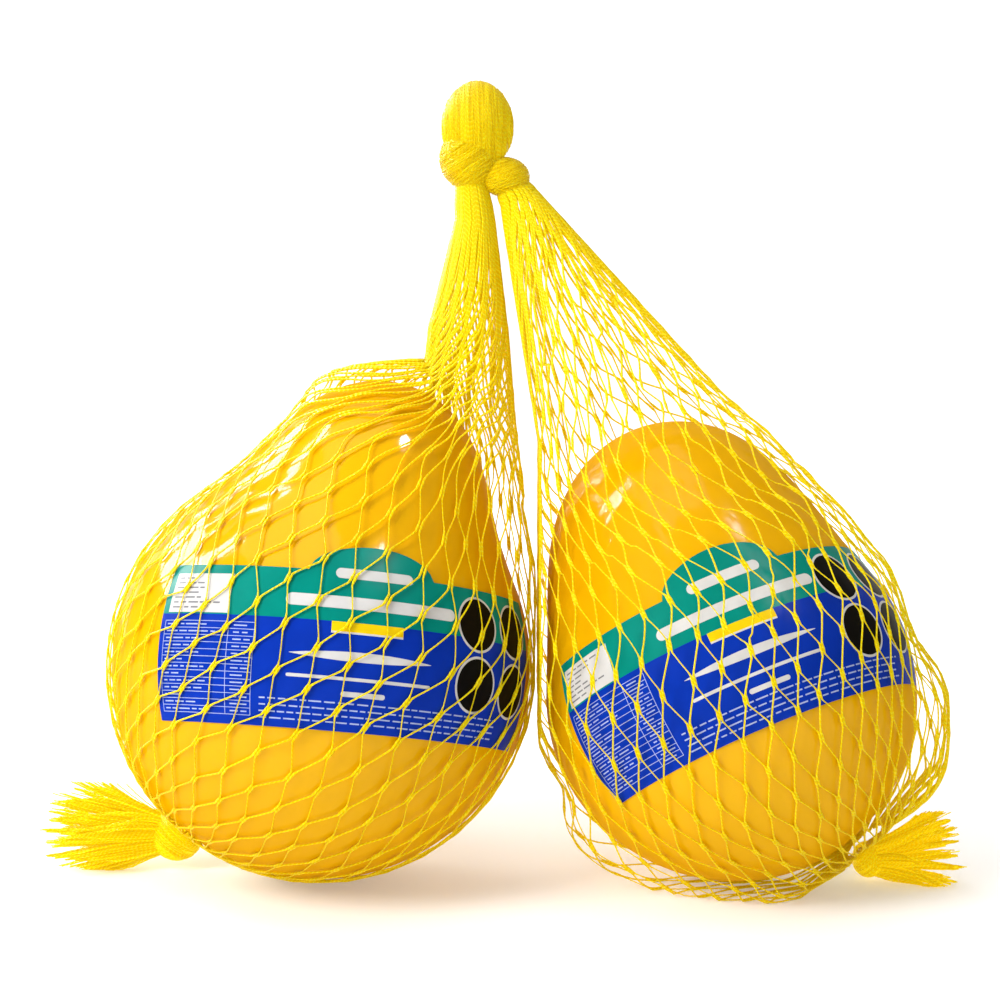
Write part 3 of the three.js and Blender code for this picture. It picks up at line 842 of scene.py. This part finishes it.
def brush_cut(from_tip, lock_tips, lock, draw):
    """Cut length of each thread as a share of the brush: ragged, rounded off and pointed in its lock."""
    ragged = LOCK_SHARE * draw.uniform(0, 1, BRUSH_LOCKS)[lock] ** 2
    ragged = ragged + THREAD_SHARE * draw.uniform(0, 1, BRUSH_THREADS) ** 2
    round_off = (lock_tips[lock] ** 2).sum(1)
    cut = 1 - BRUSH_RAGGED * ragged - BRUSH_ROUND * round_off - BRUSH_POINT * from_tip
    return cut[:, None] / cut.max()


def brush_yarn(at, brush, side, draw):
    """Cut ends that flare out of the knot in pointed locks, longest in the middle of the brush."""
    share = np.linspace(0, 1, BRUSH_STEPS)[None]
    disc = scatter(draw, BRUSH_THREADS)
    lock_tips = scatter(draw, BRUSH_LOCKS)
    apart = np.linalg.norm(disc[:, None] - lock_tips, axis=2)
    lock = apart.argmin(1)
    tip = disc + BRUSH_GATHER * (lock_tips[lock] - disc)
    place = disc[:, None] + (tip - disc)[:, None] * share[..., None] ** 2
    place = place * (brush["root"] + (brush["tip"] - brush["root"]) * share**BRUSH_FLARE)[..., None]
    cut = brush_cut(apart.min(1), lock_tips, lock, draw)
    shift = draw.uniform(0, 2 * np.pi, (BRUSH_THREADS, 1))
    crimp = BRUSH_CRIMP * np.sin(share * brush["length"] * CRIMP_TURN_PER_MM + shift)
    path = np.stack([
        side * brush["length"] * share * cut,
        brush["back"] * share + place[..., 0] * brush["depth"] + crimp,
        brush["rise"] * share + place[..., 1] + crimp,
    ], axis=-1)
    path = vec(*at) + path
    path[..., 2] = np.maximum(path[..., 2], FLOOR_CLEAR + YARN_RADIUS)
    outs = np.broadcast_to(vec(0, 0, 1), path.shape)
    return tubes(path, outs, YARN_RADIUS, YARN_SIDES)


def tassel_piece(node, net, knot, brush):
    """One tassel."""
    draw = np.random.default_rng(brush["seed"])
    radii = vec(*knot["radii"])
    at = net["tail"] + net["aim"] * TASSEL_OUT
    at[2] = max(at[2], radii[2] + FLOOR_CLEAR)
    groups = [
        oval_core(at, radii),
        wound_yarn(at, radii - YARN_RADIUS, knot["slant"], KNOT_YARNS, draw),
        brush_yarn(at, brush, net["side"], draw),
    ]
    thread_piece(node + "_yarn", groups, node, CUT_YARN)


# Materials: scales of grain are per metre, and reliefs are heights in metres.
GRAIN_DETAIL = 3
GRAIN_SPAN = (0.3, 0.7)
RIND_COLOURS = [(0.69, 0.352, 0.0008), (0.74, 0.395, 0.001)]
RIND_MOTTLE = 16
RIND_WRINKLES = {"scale": 40, "relief": 0.15 * MM}
RIND_PORES = {"scale": 120, "relief": 0.3 * MM}
# The lighter of the two ply colours is a painted glint along the twist of the yarn.
PLY_GLINT_COLOURS = [(0.97, 0.78, 0.0005), (1.0, 0.94, 0.04)]
PLY_SPAN = (0.25, 0.95)
PLY_TURNS_PER_MM = 0.75
PLY_RELIEF = 0.08 * MM
DULL_SPAN = (0, 0.8)
YARN_TINT = (1, 0.92, 0.08, 1)
YARN_THROUGH = 0.4
INK_MOTTLE = {"scale": 130, "detail": 4, "darker": 0.86}
FILM_RIPPLE = {"scale": 45, "relief": 0.6 * MM}


def new_material(name, values):
    """A material with its node tree and its principled shader, set to uniform values."""
    material = bpy.data.materials.new(name)
    material.use_nodes = True
    tree = material.node_tree
    shader = tree.nodes["Principled BSDF"]
    for socket, value in values.items():
        shader.inputs[socket].default_value = value
    return material, tree, shader


def grain(tree, scale, detail=GRAIN_DETAIL):
    """Noise fixed to the piece."""
    place = tree.nodes.new("ShaderNodeTexCoord")
    noise = tree.nodes.new("ShaderNodeTexNoise")
    noise.inputs["Scale"].default_value = scale
    noise.inputs["Detail"].default_value = detail
    tree.links.new(place.outputs["Object"], noise.inputs["Vector"])
    return noise.outputs["Fac"]


def ramp(tree, value, span, colours):
    """A value turned into a colour between two others."""
    node = tree.nodes.new("ShaderNodeValToRGB")
    for element, position, colour in zip(node.color_ramp.elements, span, colours):
        element.position = position
        element.color = (*colour, 1)
    tree.links.new(value, node.inputs["Fac"])
    return node.outputs["Color"]


def bump(tree, height, relief):
    """Small relief."""
    node = tree.nodes.new("ShaderNodeBump")
    node.inputs["Distance"].default_value = relief
    tree.links.new(height, node.inputs["Height"])
    return node.outputs["Normal"]


def math_node(tree, operation, *values):
    """Result of one operation on values, each a socket or a number."""
    node = tree.nodes.new("ShaderNodeMath")
    node.operation = operation
    for socket, value in zip(node.inputs, values):
        if isinstance(value, bpy.types.NodeSocket):
            tree.links.new(value, socket)
        else:
            socket.default_value = value
    return node.outputs["Value"]


def rind_material():
    """Waxy yellow rind under a tight glossy skin with faint wrinkles."""
    material, tree, shader = new_material("rind", {
        "Roughness": 0.5,
        "Specular IOR Level": 0,
        "Coat Weight": 0.05,
        "Coat IOR": 3,
        "Coat Roughness": 0.08,
    })
    colour = ramp(tree, grain(tree, RIND_MOTTLE), GRAIN_SPAN, RIND_COLOURS)
    tree.links.new(colour, shader.inputs["Base Color"])
    for socket, layer in (("Coat Normal", RIND_WRINKLES), ("Normal", RIND_PORES)):
        tree.links.new(bump(tree, grain(tree, layer["scale"]), layer["relief"]), shader.inputs[socket])
    return material


def thread_parts(tree):
    """The two parts of a thread's UVs: its number with the share round it, and the length along it."""
    uv = tree.nodes.new("ShaderNodeUVMap")
    uv.uv_map = "thread"
    parts = tree.nodes.new("ShaderNodeSeparateXYZ")
    tree.links.new(uv.outputs["UV"], parts.inputs["Vector"])
    return parts.outputs["X"], parts.outputs["Y"]


def thread_draw(tree, number):
    """A random value for each thread, from its number."""
    noise = tree.nodes.new("ShaderNodeTexWhiteNoise")
    noise.noise_dimensions = "1D"
    tree.links.new(math_node(tree, "FLOOR", number), noise.inputs["W"])
    return noise.outputs["Value"]


def ply_wave(tree, number, length):
    """Wave that winds round a thread along its length."""
    lay = math_node(tree, "MULTIPLY_ADD", length, PLY_TURNS_PER_MM, number)
    return math_node(tree, "SINE", math_node(tree, "MULTIPLY", lay, 2 * math.pi))


def product(tree, first, second):
    """Two colours multiplied."""
    mix = tree.nodes.new("ShaderNodeMix")
    mix.data_type = "RGBA"
    mix.blend_type = "MULTIPLY"
    mix.inputs["Factor"].default_value = 1
    tree.links.new(first, mix.inputs["A"])
    tree.links.new(second, mix.inputs["B"])
    return mix.outputs["Result"]


def let_light_through(tree, shader, colour):
    """Mixes a translucent part into the surface."""
    through = tree.nodes.new("ShaderNodeBsdfTranslucent")
    tree.links.new(colour, through.inputs["Color"])
    blend = tree.nodes.new("ShaderNodeMixShader")
    blend.inputs["Fac"].default_value = YARN_THROUGH
    tree.links.new(shader.outputs["BSDF"], blend.inputs[1])
    tree.links.new(through.outputs["BSDF"], blend.inputs[2])
    tree.links.new(blend.outputs["Shader"], tree.nodes["Material Output"].inputs["Surface"])


def yarn_material(name, painted_glow, dull):
    """Two-ply bright yellow yarn that lets some light through; its threads range from dull to bright. It
    glows with painted light that stands in for light bounced among bunched threads, and its lighter ply is
    a painted glint.
    """
    # Painted light: the yarn glows, in place of light bounced among its threads.
    material, tree, shader = new_material(name, {
        "Roughness": 0.36,
        "Specular IOR Level": 0.45,
        "Specular Tint": YARN_TINT,
        "Emission Strength": painted_glow,
    })
    number, length = thread_parts(tree)
    wave = ply_wave(tree, number, length)
    # The wave paints a glint on the lighter ply.
    plies_and_glints = ramp(tree, wave, PLY_SPAN, PLY_GLINT_COLOURS)
    shade = ramp(tree, thread_draw(tree, number), DULL_SPAN, [dull, (1, 1, 1)])
    colour = product(tree, plies_and_glints, shade)
    for socket in ("Base Color", "Emission Color"):
        tree.links.new(colour, shader.inputs[socket])
    tree.links.new(bump(tree, wave, PLY_RELIEF), shader.inputs["Normal"])
    let_light_through(tree, shader, colour)
    return material


def ink_material(name, colour):
    """Printed film with a faint unevenness of the ink."""
    material, tree, shader = new_material("ink_" + name, {"Roughness": 0.3, "Specular IOR Level": 0.03})
    darker = [INK_MOTTLE["darker"] * part for part in colour]
    mottle = grain(tree, INK_MOTTLE["scale"], INK_MOTTLE["detail"])
    tree.links.new(ramp(tree, mottle, GRAIN_SPAN, [darker, colour]), shader.inputs["Base Color"])
    ripple = bump(tree, grain(tree, FILM_RIPPLE["scale"]), FILM_RIPPLE["relief"])
    tree.links.new(ripple, shader.inputs["Normal"])
    return material


INK_MATERIALS = {name: ink_material(name, colour) for name, colour in INK_COLOURS.items()}
RIND = rind_material()
# Each yarn glows with painted light; the cut ends of the tassels, where most light is lost among the
# threads, glow most.
NET_YARN = yarn_material("net_yarn", painted_glow=0.07, dull=(0.94, 0.91, 0.75))
KNOT_YARN = yarn_material("knot_yarn", painted_glow=0.13, dull=(0.86, 0.74, 0.3))
CUT_YARN = yarn_material("cut_yarn", painted_glow=0.4, dull=(0.8, 0.72, 0.4))


# Pieces: the skins, the labels, the two halves of the net, the top knot and the tassels.
NET_LEFT = hang_net(LEFT, LEFT_HANG, LEFT_TASSEL_AIM, -1)
NET_RIGHT = hang_net(RIGHT, RIGHT_HANG, RIGHT_TASSEL_AIM, 1)

pear_piece("cheese_left", LEFT, LEFT_FOLDS)
pear_piece("cheese_right", RIGHT, RIGHT_FOLDS)
label_piece("label_left", LEFT, LEFT_LABEL)
label_piece("label_right", RIGHT, RIGHT_LABEL)
net_piece("net_left", NET_LEFT, LEFT_THREADS, LEFT_OPENING, COLLAR["at"])
net_piece("net_right", NET_RIGHT, RIGHT_THREADS, RIGHT_OPENING, HITCH["at"])
top_knot_piece("top_knot")
tassel_piece("tassel_left", NET_LEFT, LEFT_KNOT, LEFT_BRUSH)
tassel_piece("tassel_right", NET_RIGHT, RIGHT_KNOT, RIGHT_BRUSH)


# Stage: floor, lights and camera at the photograph's angle, in metres and degrees.
FLOOR = {"half": 6, "front": -6, "back": 3, "bend": 1.2, "bend_steps": 13, "top": 6}
FLOOR_GLOW = {"From Min": 0.15, "From Max": 1.2, "To Min": 0.25, "To Max": 0.7}
LIGHT_TARGET = (0, 0, 0.1)
LIGHTS = {
    "key": {"place": (-1.0, -0.8, 0.9), "size": (0.6, 0.8), "power": 22, "gloss": False},
    "top": {"place": (-0.3, -0.1, 1.5), "size": (1.2, 1.2), "power": 10},
    "fill": {"place": (0.2, -1.7, 0.5), "size": (1.4, 1.4), "power": 5, "gloss": False},
    "edge": {"place": (-1.0, 1.2, 0.5), "size": (0.5, 1.0), "power": 16},
    "window": {"place": (-1.25, 0.6, 0.9), "size": (1.1, 0.6), "power": 120, "matt": False},
    "pane": {"place": (-1.05, 0.05, 0.97), "size": (0.16, 0.9), "power": 26, "matt": False},
    "lamp": {"place": (0.46, -0.345, 0.98), "size": (0.16, 0.14), "power": 10, "matt": False},
}
ROOM_LIGHT = 0.3
CAMERA = {"distance": 0.6, "frame_width": 0.293, "elevation": 5, "x_mm": -1, "z_mm": 113}


def far_glow(tree):
    """Glow that grows with the distance from the origin, so that the floor fades into a white wall."""
    place = tree.nodes.new("ShaderNodeTexCoord")
    length = tree.nodes.new("ShaderNodeVectorMath")
    length.operation = "LENGTH"
    tree.links.new(place.outputs["Object"], length.inputs[0])
    spread = tree.nodes.new("ShaderNodeMapRange")
    for socket, value in FLOOR_GLOW.items():
        spread.inputs[socket].default_value = value
    tree.links.new(length.outputs["Value"], spread.inputs["Value"])
    return spread.outputs["Result"]


def make_floor():
    """Plain white floor that sweeps up into a wall far behind."""
    back, bend = FLOOR["back"], FLOOR["bend"]
    turn = np.linspace(0, np.pi / 2, FLOOR["bend_steps"])
    sweep = [(back + bend * math.sin(t), bend * (1 - math.cos(t))) for t in turn]
    profile = [(FLOOR["front"], 0), *sweep, (back + bend, FLOOR["top"])]
    points = [(x, y, z) for y, z in profile for x in (-FLOOR["half"], FLOOR["half"])]
    quads = [(2 * k, 2 * k + 1, 2 * k + 3, 2 * k + 2) for k in range(len(profile) - 1)]
    mesh = bpy.data.meshes.new("floor")
    mesh.from_pydata(points, [], quads)
    mesh.polygons.foreach_set("use_smooth", np.full(len(quads), True))
    floor = bpy.data.objects.new("floor", mesh)
    bpy.context.scene.collection.objects.link(floor)
    material, tree, shader = new_material("floor", {
        "Base Color": (0.82, 0.82, 0.82, 1),
        "Roughness": 0.9,
        "Specular IOR Level": 0,
        "Emission Color": (1, 1, 1, 1),
    })
    tree.links.new(far_glow(tree), shader.inputs["Emission Strength"])
    mesh.materials.append(material)


def area_light(name, place, size, power, matt=True, gloss=True):
    """Soft box turned to the pair; it may light only the matt or only the glossy part of surfaces."""
    data = bpy.data.lights.new(name, "AREA")
    data.shape = "RECTANGLE"
    data.size, data.size_y = size
    data.energy = power
    light = bpy.data.objects.new(name, data)
    light.location = place
    light.visible_diffuse = matt
    light.visible_glossy = gloss
    light.rotation_mode = "QUATERNION"
    light.rotation_quaternion = (Vector(LIGHT_TARGET) - Vector(place)).to_track_quat("-Z", "Y")
    bpy.context.scene.collection.objects.link(light)


def make_light():
    """Large soft boxes round the pair, a window at the left and a lamp in front, in a pale room."""
    for name, light in LIGHTS.items():
        area_light(name, **light)
    world = bpy.data.worlds.new("room")
    world.use_nodes = True
    room = world.node_tree.nodes["Background"]
    room.inputs["Color"].default_value = (1, 1, 1, 1)
    room.inputs["Strength"].default_value = ROOM_LIGHT
    bpy.context.scene.world = world
    bpy.context.scene.view_settings.view_transform = "Standard"


def make_camera():
    """Nearly level view from the front."""
    elevation = math.radians(CAMERA["elevation"])
    target = Vector(((SHIFT[0] + CAMERA["x_mm"]) * MM, 0, CAMERA["z_mm"] * MM))
    back = Vector((0, -math.cos(elevation), math.sin(elevation)))
    data = bpy.data.cameras.new("camera")
    data.lens = data.sensor_width * CAMERA["distance"] / CAMERA["frame_width"]
    camera = bpy.data.objects.new("camera", data)
    camera.location = target + back * CAMERA["distance"]
    camera.rotation_mode = "QUATERNION"
    camera.rotation_quaternion = (-back).to_track_quat("-Z", "Y")
    bpy.context.scene.collection.objects.link(camera)
    bpy.context.scene.camera = camera


make_floor()
make_light()
make_camera()
